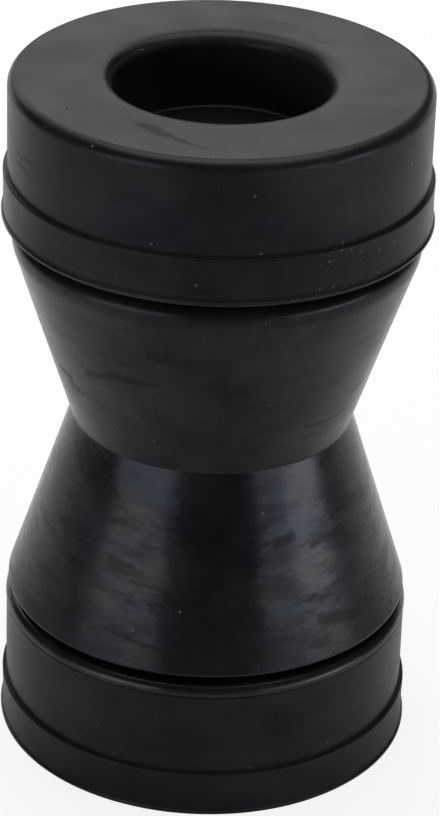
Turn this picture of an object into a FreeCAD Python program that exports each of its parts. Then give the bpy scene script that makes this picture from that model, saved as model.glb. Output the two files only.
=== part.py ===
import FreeCAD, Part
import math
import os

# An hourglass roller for a boat trailer, moulded in one piece of solid black rubber.
# It stands on its end: its axis is Z, and the origin is the middle of its lower end face.
# Sizes are in millimetres.

# Whole roller
overall_length = 131.0
waist_height = 65.0
waist_radius = 26.0

# Shaft hole: the roller turns on a 5/8 in (15.88 mm) shaft
shaft_radius = 7.94
shaft_clearance = 0.06
shaft_hole_chamfer = 0.6

# Recess round the shaft hole in each end face, whose mouth is slightly dished
recess_radius = 19.5
recess_depth = 14.2
recess_lip_round = 1.9
mouth_dish_width = 3.6
mouth_dish_depth = 0.25

# Flanges: a plain band above and a slightly larger raised band below
flange_radius = 38.0
upper_flange_height = 26.2
lower_flange_height = 27.2
end_edge_round = 2.0
band_height = 8.6
band_rise = 0.8
band_hollow = 0.1
band_hollow_round = 45.0

# Thin lip of flash round the foot of each raised band
lip_rise = 0.3
lip_height = 0.6

# Cones, parted from the flanges by narrow grooves: the upper one ends in a rounded rim
cone_foot_radius = 37.6
cone_foot_chamfer = 0.3
cone_rim_radius = 37.2
cone_rim_height = 3.4
cone_rim_round = 2.0
groove_height = 1.9
groove_depth = 4.5

# Rounded shoulder of the lower flange, with a fine mould seam at its foot
shoulder_height = 2.1
shoulder_round = 2.0
seam_step = 0.1
seam_height = 0.4
seam_depth = 0.3

# Worked out from the sizes above
hole_radius = shaft_radius + shaft_clearance
band_radius = flange_radius + band_rise
lip_radius = band_radius + lip_rise
shoulder_radius = flange_radius + seam_step
groove_floor_radius = cone_foot_radius - groove_depth
lower_cone_foot = lower_flange_height + groove_height
upper_flange_foot = overall_length - upper_flange_height
upper_cone_top = upper_flange_foot - groove_height


def flange_side(foot):
    """Corners of a flange's outer side, from its foot up to its plain band."""
    lip_top = foot + lip_height
    band_top = foot + band_height
    return [
        (lip_radius, foot, 0),
        (lip_radius, lip_top, 0),
        (band_radius, lip_top, 0),
        (band_radius - band_hollow, (lip_top + band_top) / 2, band_hollow_round),
        (band_radius, band_top, 0),
        (flange_radius, band_top, 0),
    ]


def lower_shoulder():
    """Corners of the seam and the rounded shoulder at the top of the lower flange."""
    seam = lower_flange_height - shoulder_height
    return [
        (flange_radius, seam - seam_height, 0),
        (flange_radius - seam_depth, seam - seam_height / 2, 0),
        (shoulder_radius, seam, 0),
        (shoulder_radius, lower_flange_height, shoulder_round),
    ]


def groove_floor(foot):
    """Corners of a groove's floor, from the face below it to the face above it."""
    return [
        (groove_floor_radius, foot, 0),
        (groove_floor_radius, foot + groove_height, 0),
    ]


def cones():
    """Corners of the two cones, from the foot of the lower one up to the top of the upper one."""
    slope = (cone_foot_radius - waist_radius) / (waist_height - lower_cone_foot)
    return [
        (cone_foot_radius - cone_foot_chamfer, lower_cone_foot, 0),
        (cone_foot_radius - slope * cone_foot_chamfer, lower_cone_foot + cone_foot_chamfer, 0),
        (waist_radius, waist_height, 0),
        (cone_rim_radius, upper_cone_top - cone_rim_height, 0),
        (cone_rim_radius, upper_cone_top, cone_rim_round),
    ]


def bore():
    """Corners of the recesses and the shaft hole, from the upper end face down to the lower one."""
    upper_floor = overall_length - recess_depth
    chamfer_radius = hole_radius + shaft_hole_chamfer
    mouth_radius = recess_radius + mouth_dish_width
    return [
        (mouth_radius, overall_length, 0),
        (recess_radius, overall_length - mouth_dish_depth, recess_lip_round),
        (recess_radius, upper_floor, 0),
        (chamfer_radius, upper_floor, 0),
        (hole_radius, upper_floor - shaft_hole_chamfer, 0),
        (hole_radius, recess_depth + shaft_hole_chamfer, 0),
        (chamfer_radius, recess_depth, 0),
        (recess_radius, recess_depth, 0),
        (recess_radius, mouth_dish_depth, recess_lip_round),
        (mouth_radius, 0, 0),
    ]


def rounded_corner(before, corner, after, radius):
    """Tangent arc at a corner, as its first, middle and last points."""
    to_before = (before - corner).normalize()
    to_after = (after - corner).normalize()
    half_angle = to_before.getAngle(to_after) / 2
    reach = radius / math.tan(half_angle)
    inward = (to_before + to_after).normalize()
    middle = corner + inward * (radius / math.sin(half_angle) - radius)
    return corner + to_before * reach, middle, corner + to_after * reach


def section(corners):
    """Face in the XZ plane through corners given as (radius, height, rounding)."""
    points = [FreeCAD.Vector(radius, 0, height) for radius, height, rounding in corners]
    edges = []
    joins = []
    for index, corner in enumerate(points):
        rounding = corners[index][2]
        if rounding == 0:
            joins.append((corner, corner))
            continue
        following = points[(index + 1) % len(points)]
        first, middle, last = rounded_corner(points[index - 1], corner, following, rounding)
        edges.append(Part.Arc(first, middle, last).toShape())
        joins.append((first, last))
    for index, (first, last) in enumerate(joins):
        edges.append(Part.makeLine(joins[index - 1][1], first))
    return Part.Face(Part.Wire(Part.sortEdges(edges)[0]))


def roller():
    """The whole moulding: its half section turned once round the axis."""
    upper_edge = [(flange_radius, overall_length, end_edge_round)]
    corners = (
        flange_side(0)
        + lower_shoulder()
        + groove_floor(lower_flange_height)
        + cones()
        + groove_floor(upper_cone_top)
        + flange_side(upper_flange_foot)
        + upper_edge
        + bore()
    )
    axis = FreeCAD.Vector(0, 0, 1)
    return section(corners).revolve(FreeCAD.Vector(0, 0, 0), axis, 360)


os.makedirs("parts", exist_ok=True)
moulding = roller()
moulding.exportStep("parts/roller.step")
print("roller:", "valid" if moulding.isValid() else "not valid", round(moulding.Volume / 1000, 1), "cm3")
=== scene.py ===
import math

import bpy
import numpy as np
from mathutils import Matrix, Vector


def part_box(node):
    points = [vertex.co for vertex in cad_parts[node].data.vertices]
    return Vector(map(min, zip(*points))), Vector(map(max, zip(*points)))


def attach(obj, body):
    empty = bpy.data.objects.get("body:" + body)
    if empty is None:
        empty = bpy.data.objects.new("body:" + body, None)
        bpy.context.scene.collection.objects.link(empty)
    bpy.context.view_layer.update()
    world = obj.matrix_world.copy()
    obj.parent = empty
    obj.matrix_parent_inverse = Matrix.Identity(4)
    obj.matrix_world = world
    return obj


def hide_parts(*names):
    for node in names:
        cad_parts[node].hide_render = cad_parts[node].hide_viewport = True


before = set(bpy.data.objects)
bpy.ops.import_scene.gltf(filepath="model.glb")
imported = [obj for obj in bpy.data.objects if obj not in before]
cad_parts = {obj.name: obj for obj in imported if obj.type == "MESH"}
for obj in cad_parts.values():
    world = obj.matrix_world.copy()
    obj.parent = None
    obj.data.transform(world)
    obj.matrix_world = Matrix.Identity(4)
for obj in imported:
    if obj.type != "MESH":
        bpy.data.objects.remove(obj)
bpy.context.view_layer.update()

# A boat trailer roller moulded in one piece of black rubber, standing on its end on a pale
# studio floor. Sizes are in metres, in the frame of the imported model: +Z up along the
# roller's axis, with the origin in the middle of its lower end face. An azimuth is counted
# from the front, which is -Y, towards +X.

MM = 0.001

# Whole roller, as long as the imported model
overall_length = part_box("roller")[1].z
waist_height = 65.0 * MM
waist_radius = 26.0 * MM
waist_round = 0.5 * MM

# Shaft hole, and the recess round it in each end face
hole_radius = 8.0 * MM
hole_chamfer = 0.6 * MM
recess_radius = 19.5 * MM
recess_depth = 14.2 * MM
recess_lip_round = 2.2 * MM
recess_floor_round = 0.6 * MM

# Dished mouths of the recesses, of which the upper one slopes down faster close to its lip
mouth_dish_width = 3.6 * MM
mouth_dish_depth = 0.25 * MM
mouth_dish_round = 15.0 * MM
mouth_slope_width = 2.7 * MM
mouth_slope_top = 0.04 * MM
mouth_slope_depth = 0.42 * MM
mouth_slope_round = 6.0 * MM
mouth_lip_depth = 3.2 * MM

# Flanges, each with a raised and slightly hollow band that has a thin lip of flash at its foot
flange_radius = 38.0 * MM
upper_flange_height = 26.2 * MM
lower_flange_height = 27.2 * MM
end_edge_round = 2.0 * MM
band_radius = 38.8 * MM
band_height = 8.6 * MM
band_hollow = 0.1 * MM
band_hollow_round = 45.0 * MM
band_edge_round = 0.4 * MM
band_foot_round = 0.15 * MM
lip_radius = 39.1 * MM
lip_height = 0.6 * MM
lip_round = 0.15 * MM

# Shoulder of the lower flange, with a fine mould seam at its foot
shoulder_height = 2.1 * MM
shoulder_round = 2.0 * MM
seam_step = 0.1 * MM
seam_depth = 0.22 * MM
seam_height = 0.4 * MM
seam_round = 0.18 * MM

# Cones, and the narrow grooves that part them from the flanges
cone_foot_radius = 37.6 * MM
cone_foot_land = 0.32 * MM
cone_foot_round = 0.08 * MM
cone_rim_radius = 37.2 * MM
cone_rim_height = 3.4 * MM
cone_rim_round = 2.0 * MM
cone_rim_foot_round = 6.0 * MM
groove_height = 1.9 * MM
groove_depth = 4.5 * MM
groove_floor_round = 0.8 * MM

# Worked out from the sizes above
upper_flange_foot = overall_length - upper_flange_height
upper_cone_top = upper_flange_foot - groove_height
lower_cone_foot = lower_flange_height + groove_height
groove_floor_radius = cone_foot_radius - groove_depth
seam_top = lower_flange_height - shoulder_height
upper_recess_floor = overall_length - recess_depth

# Fineness of the turned mesh, and the share of a side that its two roundings may take up
turn_steps = 240
longest_step = 2.3 * MM
shortest_step = 0.22 * MM
arc_step = math.radians(15)
fewest_arc_steps = 3
rounded_share = 0.98

# Unevenness of the outside, which fades out towards the recess
uneven_depth = 0.035 * MM
uneven_waves = 40
longest_wave = 60 * MM
shortest_wave = 9 * MM
uneven_seed = 3
even_radius = 0.8 * recess_radius

# Zones of the surface, each with a finish of its own
FLANGE, BAND, EDGE, GROOVE, LOWER_CONE, UPPER_CONE, LIP, BORE, LEDGE, END = range(10)

# Patterns in the rubber, in waves to the metre
cloud_scale = 70
mottle_scale = 260
smear_scale = 100
hue_scale = 90
ripple_scale = 130
grain_scale = 2600
scuff_edge_scale = 700
speck_scale = 900

# Ranges of those patterns over which the rubber turns rough, dusty, smeared or warm
rough_clouds = (0.3, 0.7)
dusty_clouds = (0.35, 0.7)
dense_smears = (0.42, 0.66)
warm_hues = (0.42, 0.58)

# Relief of the rubber's grain and refraction of the skin over it, the same in every zone
grain_depth = 0.05 * MM
grain_strength = 0.35
skin_ior = 1.1

# Scuffs: full over the core, gone at the reach, and ragged by a share of the width too
scuff_core = 0.5
scuff_reach = 1.5
scuff_raggedness = 1.6
scuff_roughness = 0.08

# Lines of painted shade in the creases: how far above the edge of a band or a lip they lie, and the
# degrees they reach
band_shade_rise = 0.2 * MM
lip_shade_rise = 0.4 * MM
shade_line_end = 179

# Specks of dust: those listed one by one have a radius, and the others a share of a pattern's cell
speck_tone = (0.09, 0.086, 0.072)
speck_radius = 0.22 * MM
speck_cell_share = 0.17
speck_core = 0.6
speck_reach = 1.3
crowd_core = 2 * MM
crowd_reach = 15 * MM
crowd_dust = 0.5

# Lower cone: smears fade to a small share near the waist, and a film of dust fades upwards
clean_fade = 7 * MM
clean_smudging = 0.2
film_fade = 12 * MM
film_tone = (0.0108, 0.011, 0.0122)
film_dulling = 0.4

# Radius at which both cones are unrolled for their marks
cone_girth = 32 * MM

# Colours that two finishes share: of the recesses' lip and walls, and of their walls and floors
recess_tone = (0.02, 0.02, 0.021)
recess_dusty_tone = (0.024, 0.024, 0.024)
recess_tint = (0.95, 0.96, 1.0)
recess_warm_tint = (1.0, 0.98, 0.95)

# Floor, with a darker patch of painted shade in front of the roller that its flanges mirror
floor_reach = 4.0
floor_rings = 6
floor_steps = 48
floor_cloud_scale = 3
floor_tone = (0.86, 0.86, 0.86)
floor_pale_tone = (0.88, 0.88, 0.88)
front_shade_tone = (0.46, 0.46, 0.46)
front_shade_centre = (0.0, -0.36, 0.0)
front_shade_core = 0.09
front_shade_reach = 0.22
floor_whiteness = 0.85

# Light: how far off the standing lamps are and where they aim, and how dim the world is
lamp_distance = 0.85
lamp_aim = (0, 0, 0.07)
white = (1, 1, 1, 1)
world_strength = 0.02

# Camera in front of the roller and above it, with its angles in radians
camera_distance = 0.55095
camera_height = 0.36047
camera_pitch = 0.49315
camera_yaw = 0.00292
camera_roll = 0.03476
camera_clip = 0.05
focal_pixels = 3364.1
frame_height_pixels = 816
sensor_size = 36.0


def half_angles(places):
    """Half the angle between the two sides that meet at each corner."""
    halves = []
    for index, place in enumerate(places):
        to_before = places[index - 1] - place
        to_after = places[(index + 1) % len(places)] - place
        halves.append(to_before.angle(to_after) / 2)
    return halves


def reaches(places, roundings, halves):
    """How far each corner's rounding goes along its sides, where both roundings of a side must fit."""
    wanted = [rounding / math.tan(half) for rounding, half in zip(roundings, halves)]
    fits = []
    for index, place in enumerate(places):
        length = (place - places[index - 1]).length
        both = wanted[index] + wanted[index - 1]
        fits.append(min(1.0, rounded_share * length / both) if both else 1.0)
    return [
        reach * min(fits[index], fits[(index + 1) % len(fits)])
        for index, reach in enumerate(wanted)
    ]


def rounded(before, corner, after, half, reach):
    """Points of the tangent arc at a corner, from the side that comes first."""
    to_before = (before - corner).normalized()
    to_after = (after - corner).normalized()
    centre = corner + (to_before + to_after).normalized() * (reach / math.cos(half))
    start = corner + to_before * reach - centre
    sweep = start.angle_signed(corner + to_after * reach - centre)
    count = max(fewest_arc_steps, math.ceil(abs(sweep) / arc_step))
    points = []
    for index in range(count + 1):
        turn = Matrix.Rotation(-sweep * index / count, 2)
        points.append(centre + turn @ start)
    return points


# The section's corners are (radius, height, rounding, zone of the side that follows)


def flange_side(foot, band_zone):
    """Corners of a flange's outer side, from its foot up to its plain part."""
    lip_top = foot + lip_height
    band_middle = foot + (lip_height + band_height) / 2
    band_top = foot + band_height
    return [
        (lip_radius, foot, lip_round, EDGE),
        (lip_radius, lip_top, lip_round, EDGE),
        (band_radius, lip_top, lip_round, band_zone),
        (band_radius - band_hollow, band_middle, band_hollow_round, band_zone),
        (band_radius, band_top, band_edge_round, band_zone),
        (flange_radius, band_top, band_foot_round, FLANGE),
    ]


def lower_shoulder():
    """Corners of the seam and the rounded shoulder at the top of the lower flange."""
    shoulder_radius = flange_radius + seam_step
    return [
        (flange_radius, seam_top - seam_height, seam_round, FLANGE),
        (flange_radius - seam_depth, seam_top - 0.5 * seam_height, seam_round, EDGE),
        (shoulder_radius, seam_top, seam_round, EDGE),
        (shoulder_radius, lower_flange_height, shoulder_round, EDGE),
        (groove_floor_radius, lower_flange_height, groove_floor_round, GROOVE),
    ]


def cones():
    """Corners from the lower groove's floor up both cones to the upper groove's floor."""
    return [
        (groove_floor_radius, lower_cone_foot, groove_floor_round, GROOVE),
        (cone_foot_radius, lower_cone_foot, cone_foot_round, EDGE),
        (cone_foot_radius, lower_cone_foot + cone_foot_land, cone_foot_round, LOWER_CONE),
        (waist_radius, waist_height, waist_round, UPPER_CONE),
        (cone_rim_radius, upper_cone_top - cone_rim_height, cone_rim_foot_round, UPPER_CONE),
        (cone_rim_radius, upper_cone_top, cone_rim_round, GROOVE),
        (groove_floor_radius, upper_cone_top, groove_floor_round, GROOVE),
        (groove_floor_radius, upper_flange_foot, groove_floor_round, GROOVE),
    ]


def bore():
    """Corners from the upper end face down through the recesses and the hole to the lower one."""
    dish_radius = recess_radius + mouth_dish_width
    slope_radius = recess_radius + mouth_slope_width
    chamfer_radius = hole_radius + hole_chamfer
    return [
        (flange_radius, overall_length, end_edge_round, END),
        (dish_radius, overall_length, mouth_dish_round, END),
        (slope_radius, overall_length - mouth_slope_top, mouth_slope_round, END),
        (recess_radius, overall_length - mouth_slope_depth, recess_lip_round, LIP),
        (recess_radius, overall_length - mouth_lip_depth, 0, BORE),
        (recess_radius, upper_recess_floor, recess_floor_round, LEDGE),
        (chamfer_radius, upper_recess_floor, 0, BORE),
        (hole_radius, upper_recess_floor - hole_chamfer, 0, BORE),
        (hole_radius, recess_depth + hole_chamfer, 0, BORE),
        (chamfer_radius, recess_depth, 0, LEDGE),
        (recess_radius, recess_depth, recess_floor_round, BORE),
        (recess_radius, mouth_dish_depth, recess_lip_round, END),
        (dish_radius, 0, mouth_dish_round, END),
    ]


def side_points(start, end):
    """Points between the ends of a straight side, close to both ends and evenly spread between them."""
    length = (end - start).length
    if length < 3 * shortest_step:
        return []
    inner = length - 2 * shortest_step
    count = max(1, math.ceil(inner / longest_step))
    shares = [(shortest_step + inner * index / count) / length for index in range(count + 1)]
    return [start.lerp(end, share) for share in shares]


def section_stretches(corners):
    """Each corner of the section as the points of its arc, or as one point where it is sharp."""
    places = [Vector((radius, height)) for radius, height, rounding, zone in corners]
    roundings = [rounding for radius, height, rounding, zone in corners]
    halves = half_angles(places)
    stretches = []
    for index, reach in enumerate(reaches(places, roundings, halves)):
        before = places[index - 1]
        after = places[(index + 1) % len(places)]
        if reach:
            stretches.append(rounded(before, places[index], after, halves[index], reach))
        else:
            stretches.append([places[index]])
    return stretches


def section_outline():
    """The half section as a closed row of points and the zone that follows each of them."""
    corners = (
        flange_side(0, FLANGE)
        + lower_shoulder()
        + cones()
        + flange_side(upper_flange_foot, BAND)
        + bore()
    )
    stretches = section_stretches(corners)
    points = []
    zones = []
    for index, stretch in enumerate(stretches):
        zone = corners[index][3]
        zone_before = corners[index - 1][3]
        middle = len(stretch) // 2
        straight = side_points(stretch[-1], stretches[(index + 1) % len(stretches)][0])
        points += stretch + straight
        zones += [zone_before] * middle + [zone] * (len(stretch) - middle + len(straight))
    return points, zones


def unevenness(angle, along):
    """Smooth wavy field, from about -1 to 1, that closes on itself round the axis."""
    random = np.random.default_rng(uneven_seed)
    field = np.zeros_like(angle)
    total = 0
    for index in range(uneven_waves):
        wave = longest_wave * (shortest_wave / longest_wave) ** (index / uneven_waves)
        direction = random.uniform(0, math.tau)
        turns = round(math.tau * band_radius / wave * math.cos(direction))
        phase = random.uniform(0, math.tau)
        weight = wave / longest_wave
        field += weight * np.cos(turns * angle + math.tau * along / wave * math.sin(direction) + phase)
        total += weight * weight
    return field / math.sqrt(total)


def turned_corners(points):
    """The section's points turned round the axis step by step, and moved in a little where uneven."""
    radii = np.array([point.x for point in points])
    heights = np.array([point.y for point in points])
    along = np.concatenate([[0], np.cumsum(np.hypot(np.diff(radii), np.diff(heights)))])
    turns = np.arange(turn_steps) * math.tau / turn_steps
    angle, run = np.meshgrid(turns, along, indexing="ij")
    outside = np.clip((radii - even_radius) / (recess_radius - even_radius), 0, 1)
    wave = unevenness(angle, run)
    radius = radii[None, :] - uneven_depth * outside[None, :] * (1 + np.clip(wave, -1, 1))
    height = np.broadcast_to(heights[None, :], radius.shape)
    corners = np.stack([radius * np.cos(angle), radius * np.sin(angle), height], axis=-1)
    return corners.reshape(-1, 3).tolist()


def turned_faces(count):
    """Faces between the turned copies of a closed row of that many points."""
    faces = []
    for step in range(turn_steps):
        here = step * count
        there = (step + 1) % turn_steps * count
        for index in range(count):
            following = (index + 1) % count
            faces.append((here + index, there + index, there + following, here + following))
    return faces


def linked_object(name, data):
    """A new object in the scene."""
    made = bpy.data.objects.new(name, data)
    bpy.context.scene.collection.objects.link(made)
    return made


def turned_roller(materials):
    """The moulding as one closed mesh, slightly uneven as moulded rubber is."""
    points, zones = section_outline()
    mesh = bpy.data.meshes.new("rubber_moulding")
    mesh.from_pydata(turned_corners(points), [], turned_faces(len(points)))
    mesh.polygons.foreach_set("material_index", zones * turn_steps)
    mesh.shade_smooth()
    for material in materials:
        mesh.materials.append(material)
    mesh.update()
    return linked_object("rubber_moulding", mesh)


class Nodes:
    """Short calls that add shader nodes to a material or world and join them."""

    def __init__(self, owner):
        owner.use_nodes = True
        self.tree = owner.node_tree
        self.tree.nodes.clear()

    def add(self, kind, inputs=None, **settings):
        """A node whose inputs are plain values or the outputs of other nodes."""
        node = self.tree.nodes.new("ShaderNode" + kind)
        for name, value in settings.items():
            setattr(node, name, value)
        for name, value in (inputs or {}).items():
            if isinstance(value, bpy.types.NodeSocket):
                self.tree.links.new(value, node.inputs[name])
            else:
                node.inputs[name].default_value = value
        return node

    def math(self, operation, first, second=0.0, third=0.0, clamp=False):
        """Result of one operation on up to three values."""
        inputs = {0: first, 1: second, 2: third}
        return self.add("Math", inputs, operation=operation, use_clamp=clamp).outputs[0]

    def times(self, first, second):
        """Product of two values."""
        return self.math("MULTIPLY", first, second)

    def spread(self, value, low, high, to_low=0.0, to_high=1.0):
        """Value from low to high turned smoothly into to_low to to_high."""
        inputs = {"Value": value, "From Min": low, "From Max": high, "To Min": to_low, "To Max": to_high}
        return self.add("MapRange", inputs, interpolation_type="SMOOTHSTEP").outputs["Result"]

    def blend(self, share, first, second):
        """First colour turned into the second one by a share."""
        inputs = {0: share}
        for slot, colour in ((6, first), (7, second)):
            inputs[slot] = (*colour, 1) if isinstance(colour, tuple) else colour
        return self.add("Mix", inputs, data_type="RGBA").outputs[2]

    def distance(self, first, second):
        """Distance between two places."""
        return self.add("VectorMath", {0: first, 1: second}, operation="DISTANCE").outputs["Value"]

    def noise(self, place, scale, flatness=1.0, detail=3.0, roughness=0.5, distortion=0.0):
        """Soft noise of that many waves to the metre, and flatness times as many upwards."""
        scaled = self.add("Mapping", {"Vector": place, "Scale": (scale, scale, scale * flatness)})
        inputs = {
            "Vector": scaled.outputs[0],
            "Scale": 1.0,
            "Detail": detail,
            "Roughness": roughness,
            "Distortion": distortion,
        }
        return self.add("TexNoise", inputs).outputs["Fac"]

    def scuff(self, flat, wobble, start, end, width, strength):
        """How much a scuff from start to end covers each spot, ragged at its edges."""
        way = Vector((*end, 0)) - Vector((*start, 0))
        offset = self.add("VectorMath", {0: flat, 1: (*start, 0)}, operation="SUBTRACT").outputs[0]
        inputs = {0: offset, 1: way / way.length_squared}
        share = self.add("VectorMath", inputs, operation="DOT_PRODUCT").outputs["Value"]
        share = self.math("MINIMUM", self.math("MAXIMUM", share, 0.0), 1.0)
        nearest = self.add("VectorMath", {0: way, "Scale": share}, operation="SCALE").outputs[0]
        distance = self.distance(offset, nearest)
        distance = self.math("MULTIPLY_ADD", wobble, scuff_raggedness * width, distance)
        return self.spread(distance, scuff_core * width, scuff_reach * width, strength, 0.0)

    def speck(self, flat, centre):
        """One round speck of dust."""
        distance = self.distance(flat, (*centre, 0))
        return self.spread(distance, speck_core * speck_radius, speck_reach * speck_radius, 1.0, 0.0)

    def scattered_specks(self, place, share):
        """Round specks of dust in that share of the cells of a Voronoi pattern."""
        cells = self.add("TexVoronoi", {"Vector": place, "Scale": speck_scale})
        choice = self.add("SeparateColor", {0: cells.outputs["Color"]}).outputs[0]
        chosen = self.math("LESS_THAN", choice, share)
        core = speck_core * speck_cell_share
        spot = self.spread(cells.outputs["Distance"], core, speck_cell_share, 1.0, 0.0)
        return self.times(spot, chosen)


class Finish:
    """How one zone of the rubber looks. What a zone doesn't set for itself is as it stands here."""

    # Own colour where it is clean and where it is dusty, and the two tints of its reflections, whose blue
    # is painted light standing in for bluish lamps
    tone = (0.0068, 0.007, 0.008)
    dusty_tone = (0.011, 0.011, 0.0115)
    tint = (0.75, 0.82, 1.0)
    warm_tint = (0.9, 0.9, 0.96)

    # Reflection of the rubber itself, from smooth to rough, and how unevenly it shines
    roughness = (0.32, 0.42)
    gloss = 0.155
    mottling = 0.5

    # Thin smooth skin over the rubber, and the depth of its ripples
    skin_gloss = 0.1
    skin_roughness = 0.18
    ripple = 0.02 * MM

    # Smears and scuffs, which rub the gloss off, and the height above which few smears are
    smudging = 0.1
    scuffs = ()
    clean_above = None

    # Specks of dust: their share, the middle of a crowd of them, and those listed one by one
    dust = 0.012
    dust_centre = None
    specks = ()

    # Height below which a film of dust lies
    dusty_below = None

    # Radius at which the side is unrolled for its marks, or None for an end face
    girth = flange_radius

    def __init__(self, name, **settings):
        self.name = name
        for setting, value in settings.items():
            setattr(self, setting, value)

    def laid(self, place):
        """A listed place, in metres on the unrolled side or on the end face."""
        across, up = place
        if self.girth is None:
            return across * MM, up * MM
        return math.radians(across) * self.girth, up * MM


def unrolled(nodes, place, girth):
    """Where each spot is on the unrolled side, round and up, or across an end face."""
    x, y, z = nodes.add("SeparateXYZ", {0: place}).outputs
    if girth is None:
        return nodes.add("CombineXYZ", {0: x, 1: y}).outputs[0]
    azimuth = nodes.math("ARCTAN2", x, nodes.times(y, -1.0))
    return nodes.add("CombineXYZ", {0: nodes.times(azimuth, girth), 1: z}).outputs[0]


def rubbed_share(nodes, finish, place, height, flat):
    """How far smears and scuffs have rubbed off the gloss."""
    smears = nodes.noise(place, smear_scale, flatness=3.5, detail=8, roughness=0.7, distortion=0.2)
    rubbed = nodes.times(nodes.spread(smears, *dense_smears), finish.smudging)
    if finish.clean_above:
        smudged = nodes.spread(
            height, finish.clean_above - clean_fade, finish.clean_above, 1.0, clean_smudging
        )
        rubbed = nodes.times(rubbed, smudged)
    ragged = nodes.noise(place, scuff_edge_scale, detail=3, roughness=0.7)
    wobble = nodes.math("SUBTRACT", ragged, 0.5)
    for start, end, width, strength in finish.scuffs:
        scuff = nodes.scuff(flat, wobble, finish.laid(start), finish.laid(end), width * MM, strength)
        rubbed = nodes.math("MAXIMUM", rubbed, scuff)
    return rubbed


def rubbed_gloss(nodes, finish, place, clouds, rubbed):
    """Gloss of the rubber, clouded and mottled, and less where it is rubbed."""
    mottle = nodes.noise(place, mottle_scale, flatness=1.4, detail=4, roughness=0.65)
    # Both patterns lie round one half, and there they leave the gloss as it is
    cloudiness = nodes.math("MULTIPLY_ADD", clouds, 2 * finish.mottling, 1 - finish.mottling)
    fineness = nodes.math("MULTIPLY_ADD", mottle, finish.mottling, 1 - 0.5 * finish.mottling)
    gloss = nodes.times(nodes.times(cloudiness, fineness), finish.gloss)
    return nodes.times(gloss, nodes.math("SUBTRACT", 1.0, rubbed))


def speck_share(nodes, finish, place, flat):
    """How much specks of dust cover each spot."""
    share = finish.dust
    if finish.dust_centre:
        distance = nodes.distance(flat, (*finish.laid(finish.dust_centre), 0))
        share = nodes.spread(distance, crowd_core, crowd_reach, crowd_dust, finish.dust)
    specks = nodes.scattered_specks(place, share)
    for centre in finish.specks:
        specks = nodes.math("MAXIMUM", specks, nodes.speck(flat, finish.laid(centre)))
    return specks


def rubber_normals(nodes, finish, place):
    """Normals of the grained rubber and of the rippled skin over it."""
    ripples = nodes.noise(place, ripple_scale, flatness=1.8, detail=3)
    inputs = {"Height": ripples, "Strength": 1.0, "Distance": finish.ripple}
    skin_normal = nodes.add("Bump", inputs).outputs["Normal"]
    grain = nodes.noise(place, grain_scale, detail=2)
    inputs = {"Height": grain, "Strength": grain_strength, "Distance": grain_depth, "Normal": skin_normal}
    return nodes.add("Bump", inputs).outputs["Normal"], skin_normal


def rubber(finish):
    """Black moulded rubber: clouded, smeared, scuffed and with specks of dust."""
    material = bpy.data.materials.new(finish.name)
    nodes = Nodes(material)
    place = nodes.add("TexCoord").outputs["Object"]
    height = nodes.add("SeparateXYZ", {0: place}).outputs["Z"]
    flat = unrolled(nodes, place, finish.girth)
    clouds = nodes.noise(place, cloud_scale, detail=5, roughness=0.6)
    rubbed = rubbed_share(nodes, finish, place, height, flat)
    gloss = rubbed_gloss(nodes, finish, place, clouds, rubbed)
    skin_gloss = 0.0
    if finish.skin_gloss:
        skin_gloss = nodes.math("MULTIPLY_ADD", rubbed, -finish.skin_gloss, finish.skin_gloss)
    roughness = nodes.spread(clouds, *rough_clouds, *finish.roughness)
    roughness = nodes.math("MULTIPLY_ADD", rubbed, scuff_roughness, roughness, clamp=True)
    colour = nodes.blend(nodes.spread(clouds, *dusty_clouds), finish.tone, finish.dusty_tone)
    if finish.dusty_below:
        film = nodes.spread(height, finish.dusty_below - film_fade, finish.dusty_below, 1.0, 0.0)
        colour = nodes.blend(film, colour, film_tone)
        clearness = nodes.math("MULTIPLY_ADD", film, -film_dulling, 1.0)
        gloss = nodes.times(gloss, clearness)
        skin_gloss = nodes.times(skin_gloss, clearness)
    colour = nodes.blend(speck_share(nodes, finish, place, flat), colour, speck_tone)
    hues = nodes.noise(place, hue_scale, detail=2)
    # The blue in these reflection tints is painted light, in place of bluish lamps
    tint = nodes.blend(nodes.spread(hues, *warm_hues), finish.tint, finish.warm_tint)
    normal, skin_normal = rubber_normals(nodes, finish, place)
    inputs = {
        "Base Color": colour,
        "Roughness": roughness,
        "Specular IOR Level": gloss,
        "Specular Tint": tint,
        "Normal": normal,
        "Coat Weight": skin_gloss,
        "Coat Roughness": finish.skin_roughness,
        "Coat IOR": skin_ior,
        "Coat Normal": skin_normal,
    }
    shader = nodes.add("BsdfPrincipled", inputs)
    nodes.add("OutputMaterial", {"Surface": shader.outputs["BSDF"]})
    return material


# Marks listed one by one. A place on the side is its azimuth in degrees and height in millimetres,
# and one on an end face is its x and y in millimetres. A scuff goes from a first place to a
# second one, with a width in millimetres and the share of the gloss that it rubs off.


def crease_shade_line(height, width, strength):
    """A line of painted shade round the roller at a height in metres, as a scuff that dulls the gloss and
    is open at the back.
    """
    return (-shade_line_end, height / MM), (shade_line_end, height / MM), width, strength


def scuffed_outline(places, width, strength):
    """Scuffs from place to place and back to the first one."""
    ends = places[1:] + places[:1]
    return [(start, end, width, strength) for start, end in zip(places, ends)]


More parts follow.
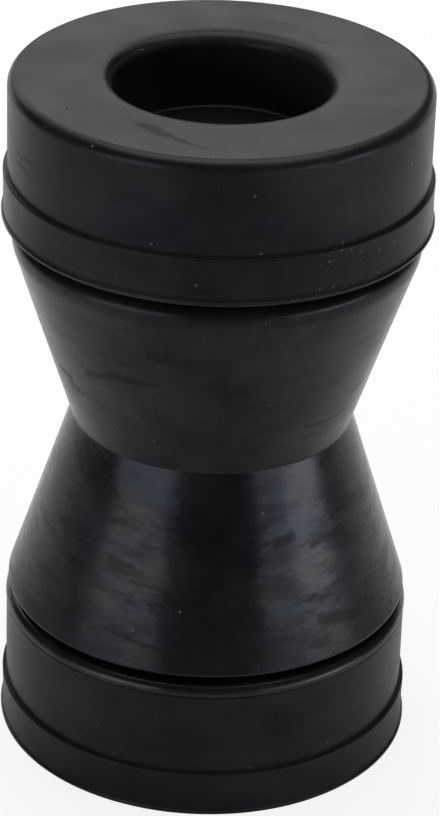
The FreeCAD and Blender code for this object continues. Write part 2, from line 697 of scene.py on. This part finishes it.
def flange_finish():
    """The flanges' plain sides and the lower band, with painted shade along the bands' edges and the
    seam.
    """
    return Finish(
        "flange_rubber",
        mottling=0.4,
        scuffs=[
            ((-69.5, 121.3), (-64.5, 120.7), 0.5, 0.4),
            ((-63.0, 121.5), (-58.5, 121.3), 0.4, 0.35),
            ((-67.5, 119.5), (-62.0, 119.2), 0.5, 0.35),
            ((29.0, 129.4), (34.0, 129.9), 0.3, 0.5),
            # Lines of dulled gloss along both bands' upper edges and at the seam: painted shade in those
            # creases
            crease_shade_line(upper_flange_foot + band_height + band_shade_rise, width=0.4, strength=0.5),
            crease_shade_line(seam_top - 0.5 * seam_height, width=0.3, strength=0.4),
            crease_shade_line(band_height + band_shade_rise, width=0.4, strength=0.5),
        ],
        specks=[
            (-34.9, 130.2),
            (-17.0, 114.9),
            (61.0, 123.6),
            (9.3, 124.9),
            (11.5, 114.2),
            (34.6, 114.0),
            (14.2, 9.3),
            (38.3, 10.7),
        ],
    )


def band_finish():
    """The upper band, with a faint rectangle and a crowd of specks."""
    rectangle = [(-5.5, 105.9), (-5.5, 107.3), (-0.5, 107.6), (-0.5, 106.1)]
    return Finish(
        "band_rubber",
        girth=band_radius,
        gloss=0.145,
        tint=(0.9, 0.92, 1.0),
        warm_tint=(1.0, 0.98, 0.9),
        mottling=0.4,
        dust_centre=(40, 111),
        scuffs=[
            *scuffed_outline(rectangle, width=0.25, strength=0.5),
            ((-44.0, 112.0), (-37.0, 110.4), 0.7, 0.15),
            # A line of dulled gloss just above the lip: painted shade in the crease
            crease_shade_line(upper_flange_foot + lip_height + lip_shade_rise, width=0.4, strength=0.5),
        ],
        specks=[(-4.9, 108.5), (52.7, 110.6), (46.5, 110.7), (36.6, 112.6), (30.0, 111.4)],
    )


def edge_finish():
    """The flash lips, the lower cone's foot and the lower flange's shoulder, worn smooth."""
    return Finish(
        "edge_rubber",
        tint=(0.9, 0.92, 1.0),
        warm_tint=(1.0, 1.0, 0.96),
        roughness=(0.24, 0.32),
        gloss=0.25,
        skin_gloss=0.4,
    )


def groove_finish():
    """The dull insides of the grooves."""
    return Finish(
        "groove_rubber",
        tone=(0.009, 0.009, 0.0095),
        dusty_tone=(0.012, 0.012, 0.0125),
        roughness=(0.45, 0.52),
        gloss=0.06,
        skin_gloss=0.0,
    )


def lower_cone_finish():
    """The glossy lower cone, clean at the waist, smeared below it and dusty at its foot."""
    return Finish(
        "lower_cone_rubber",
        girth=cone_girth,
        roughness=(0.23, 0.31),
        gloss=0.2,
        skin_gloss=0.6,
        # A strong blue tint of the reflections: painted light in place of bluish lamps
        tint=(0.68, 0.77, 1.0),
        warm_tint=(0.88, 0.89, 0.98),
        mottling=0.6,
        smudging=0.4,
        ripple=0.15 * MM,
        tone=(0.0058, 0.006, 0.007),
        dusty_tone=(0.0095, 0.0095, 0.0102),
        clean_above=61 * MM,
        dusty_below=43 * MM,
        scuffs=[
            ((-35.0, 53.7), (-30.5, 54.0), 0.8, 0.45),
            ((-30.5, 53.8), (-24.5, 53.7), 0.5, 0.35),
            ((-14.0, 54.3), (-10.5, 54.9), 0.3, 0.45),
            ((-32.5, 46.8), (-25.0, 46.0), 1.1, 0.4),
            ((-24.5, 44.2), (-14.5, 43.8), 0.4, 0.35),
            ((-17.0, 41.0), (-12.5, 41.1), 0.5, 0.45),
            ((-16.0, 40.0), (-12.5, 40.0), 0.9, 0.3),
            ((-31.0, 41.2), (-23.0, 41.7), 0.25, 0.35),
            ((-30.5, 40.5), (-24.5, 41.0), 0.2, 0.3),
            ((-30.0, 34.8), (-21.0, 34.4), 0.5, 0.4),
            ((-28.0, 34.5), (-12.5, 33.3), 0.4, 0.4),
            ((-38.5, 59.3), (-35.0, 57.7), 0.7, 0.45),
            ((-57.0, 61.6), (-38.5, 56.8), 3.0, 0.35),
            ((24.5, 51.7), (30.5, 52.3), 1.0, 0.5),
            ((38.5, 49.9), (45.5, 50.2), 0.7, 0.5),
            ((45.5, 50.2), (53.0, 49.7), 1.1, 0.4),
            ((24.0, 49.8), (30.0, 49.7), 1.8, 0.25),
            ((23.0, 43.7), (30.0, 43.2), 1.9, 0.3),
            ((33.0, 40.8), (36.5, 40.6), 0.5, 0.4),
            ((37.5, 36.4), (44.5, 35.4), 1.1, 0.45),
            ((44.5, 35.4), (51.5, 34.7), 1.0, 0.45),
            ((33.0, 32.4), (38.0, 32.4), 1.0, 0.35),
        ],
        specks=[(-7.5, 40.4), (-21.3, 35.8), (63.6, 55.7), (20.4, 57.5)],
    )


def upper_cone_finish():
    """The satin upper cone, scuffed across its left side."""
    return Finish(
        "upper_cone_rubber",
        girth=cone_girth,
        roughness=(0.28, 0.4),
        gloss=0.147,
        skin_gloss=0.6,
        skin_roughness=0.15,
        tint=(0.78, 0.86, 1.0),
        warm_tint=(0.98, 0.97, 0.96),
        mottling=0.7,
        smudging=0.2,
        scuffs=[
            ((-44.0, 82.8), (-33.0, 84.3), 0.9, 0.45),
            ((-33.0, 84.6), (-24.0, 84.7), 0.7, 0.55),
            ((-24.0, 84.7), (-16.5, 84.9), 0.4, 0.45),
            ((-18.0, 91.9), (-12.5, 91.4), 1.0, 0.4),
            ((-29.0, 88.7), (-25.5, 88.4), 0.6, 0.3),
            ((-6.0, 90.3), (4.5, 91.1), 1.6, 0.2),
            ((-5.0, 85.6), (3.0, 86.9), 1.4, 0.25),
            ((4.5, 84.0), (8.5, 84.9), 1.5, 0.3),
            ((-64.5, 78.9), (-56.0, 78.6), 0.6, 0.5),
            ((-58.5, 77.5), (-51.5, 76.4), 0.5, 0.5),
            ((56.5, 77.5), (62.5, 78.2), 0.4, 0.6),
            ((36.0, 73.6), (48.5, 73.1), 0.35, 0.5),
            ((48.5, 73.1), (58.0, 73.5), 0.3, 0.5),
            ((35.0, 71.1), (46.5, 70.2), 0.3, 0.4),
        ],
    )


def lip_finish():
    """The rounded lip of the upper recess, with three specks at its far side."""
    return Finish(
        "lip_rubber",
        tone=recess_tone,
        dusty_tone=recess_dusty_tone,
        girth=recess_radius,
        roughness=(0.28, 0.34),
        gloss=0.15,
        specks=[(-133.0, 129.9), (-130.5, 130.1), (-128.0, 130.2)],
    )


def bore_finish():
    """The dull walls of the recesses and the shaft hole."""
    return Finish(
        "bore_rubber",
        tone=recess_tone,
        dusty_tone=recess_dusty_tone,
        tint=recess_tint,
        warm_tint=recess_warm_tint,
        girth=recess_radius,
        roughness=(0.4, 0.5),
        gloss=0.08,
        skin_gloss=0.0,
    )


def ledge_finish():
    """The floors of the recesses."""
    return Finish(
        "ledge_rubber",
        tone=(0.006, 0.006, 0.006),
        dusty_tone=(0.008, 0.008, 0.008),
        tint=recess_tint,
        warm_tint=recess_warm_tint,
        girth=None,
        roughness=(0.24, 0.3),
        gloss=0.16,
        skin_gloss=0.0,
    )


def end_finish():
    """The even end faces, with a jagged stain in front of the recess and faint ones behind it."""
    return Finish(
        "end_rubber",
        girth=None,
        tint=(1.0, 1.0, 0.99),
        warm_tint=(1.0, 1.0, 0.94),
        gloss=0.14,
        skin_gloss=0.0,
        mottling=0.2,
        smudging=0.06,
        scuffs=[
            ((-16.5, -20.5), (-14.5, -22.0), 0.5, 0.2),
            ((-13.5, -23.0), (-11.0, -24.4), 1.1, 0.5),
            ((-11.5, -24.6), (-9.0, -27.0), 1.2, 0.5),
            ((-9.5, -26.6), (-6.0, -29.5), 0.6, 0.45),
            ((-6.5, -29.2), (-2.5, -32.2), 0.35, 0.45),
            ((-26.5, -17.2), (-26.5, -17.0), 0.35, 0.7),
            ((-8.0, 23.5), (12.0, 24.0), 2.5, 0.16),
            ((12.0, 24.0), (19.0, 17.0), 1.6, 0.12),
        ],
    )


def floor_mesh():
    """A flat disc of rings that widen outwards."""
    corners = [(0.0, 0.0, 0.0)]
    for ring in range(floor_rings):
        radius = floor_reach * ((ring + 1) / floor_rings) ** 2
        for step in range(floor_steps):
            turn = math.tau * step / floor_steps
            corners.append((radius * math.cos(turn), radius * math.sin(turn), 0.0))
    faces = []
    for step in range(floor_steps):
        after = (step + 1) % floor_steps
        faces.append((0, 1 + step, 1 + after))
        for ring in range(floor_rings - 1):
            inner = 1 + ring * floor_steps
            outer = inner + floor_steps
            faces.append((inner + step, outer + step, outer + after, inner + after))
    mesh = bpy.data.meshes.new("studio_floor")
    mesh.from_pydata(corners, [], faces)
    mesh.update()
    return mesh


def floor_material():
    """A pale matt floor that the camera sees nearly white, and that still takes the shadow, with a patch
    of painted shade in front of the roller.
    """
    material = bpy.data.materials.new("pale_floor")
    nodes = Nodes(material)
    place = nodes.add("TexCoord").outputs["Object"]
    clouds = nodes.noise(place, floor_cloud_scale, detail=2)
    colour = nodes.blend(clouds, floor_tone, floor_pale_tone)
    # A darker patch in front of the roller is painted shade, which the flanges mirror
    front_shade = nodes.spread(nodes.distance(place, front_shade_centre), front_shade_core, front_shade_reach, 1.0, 0.0)
    colour = nodes.blend(front_shade, colour, front_shade_tone)
    inputs = {"Base Color": colour, "Roughness": 0.9, "Specular IOR Level": 0.1}
    lit = nodes.add("BsdfPrincipled", inputs)
    glow = nodes.add("Emission", {"Color": white, "Strength": 1.0})
    seen = nodes.add("LightPath").outputs["Is Camera Ray"]
    inputs = {0: nodes.times(seen, floor_whiteness), 1: lit.outputs["BSDF"], 2: glow.outputs[0]}
    shader = nodes.add("MixShader", inputs)
    nodes.add("OutputMaterial", {"Surface": shader.outputs[0]})
    return material


def studio_floor():
    """A wide pale floor under the roller."""
    mesh = floor_mesh()
    mesh.materials.append(floor_material())
    floor = linked_object("studio_floor", mesh)


def softbox(name, place, aim, width, height, radiance):
    """A rectangular lamp at place that faces aim, as bright as a surface of that radiance."""
    light = bpy.data.lights.new(name, "AREA")
    light.shape = "RECTANGLE"
    light.size = width
    light.size_y = height
    light.energy = radiance * math.pi * width * height
    lamp = linked_object(name, light)
    lamp.location = place
    lamp.rotation_euler = (Vector(aim) - Vector(place)).to_track_quat("-Z", "Y").to_euler()
    lamp.visible_camera = False


def standing_softbox(name, azimuth, middle, width, height, radiance):
    """A softbox beside the roller, at an azimuth in degrees and with its middle at a height."""
    turn = math.radians(azimuth)
    place = (lamp_distance * math.sin(turn), -lamp_distance * math.cos(turn), middle)
    softbox(name, place, lamp_aim, width, height, radiance)


def studio_lamps():
    """A wide soft light above and behind, and soft panels round the roller."""
    softbox("overhead", place=(0, 0.2, 0.95), aim=(0, 0.2, 0), width=0.9, height=0.8, radiance=3.95)
    standing_softbox("back", azimuth=-165, middle=0.52, width=0.95, height=0.4, radiance=1.95)
    for name, azimuth in (("back_left", -150), ("back_right", 150)):
        standing_softbox(name, azimuth, middle=0.08, width=0.45, height=0.16, radiance=1.8)
    standing_softbox("front_left", azimuth=-48, middle=0.075, width=0.68, height=0.15, radiance=3.8)
    standing_softbox("front_left_upper", azimuth=-40, middle=0.25, width=0.45, height=0.2, radiance=3.4)
    standing_softbox("front_right", azimuth=45, middle=0.075, width=0.3, height=0.15, radiance=4.1)
    standing_softbox("right", azimuth=70, middle=0.075, width=0.45, height=0.15, radiance=7.9)


def studio_world():
    """A white background for the camera, and a dim one for the light."""
    world = bpy.data.worlds.new("studio")
    bpy.context.scene.world = world
    nodes = Nodes(world)
    bright = nodes.add("Background", {"Color": white, "Strength": 1.0})
    dim = nodes.add("Background", {"Color": white, "Strength": world_strength})
    seen = nodes.add("LightPath").outputs["Is Camera Ray"]
    shader = nodes.add("MixShader", {0: seen, 1: dim.outputs[0], 2: bright.outputs[0]})
    nodes.add("OutputWorld", {"Surface": shader.outputs[0]})


def studio_camera():
    """The camera in front of the roller and above it, looking down."""
    data = bpy.data.cameras.new("camera")
    data.sensor_width = sensor_size
    data.lens = focal_pixels / frame_height_pixels * sensor_size
    data.clip_start = camera_clip
    turn = (
        Matrix.Rotation(-camera_yaw, 4, "Z")
        @ Matrix.Rotation(math.pi / 2 - camera_pitch, 4, "X")
        @ Matrix.Rotation(camera_roll, 4, "Z")
    )
    camera = linked_object("camera", data)
    camera.matrix_world = Matrix.Translation((0, -camera_distance, camera_height)) @ turn
    bpy.context.scene.camera = camera


studio_camera()
studio_lamps()
studio_world()
studio_floor()

finishes = {
    FLANGE: flange_finish(),
    BAND: band_finish(),
    EDGE: edge_finish(),
    GROOVE: groove_finish(),
    LOWER_CONE: lower_cone_finish(),
    UPPER_CONE: upper_cone_finish(),
    LIP: lip_finish(),
    BORE: bore_finish(),
    LEDGE: ledge_finish(),
    END: end_finish(),
}
moulding = turned_roller([rubber(finishes[zone]) for zone in sorted(finishes)])
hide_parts("roller")
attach(moulding, "root")

bpy.context.scene.view_settings.view_transform = "Standard"
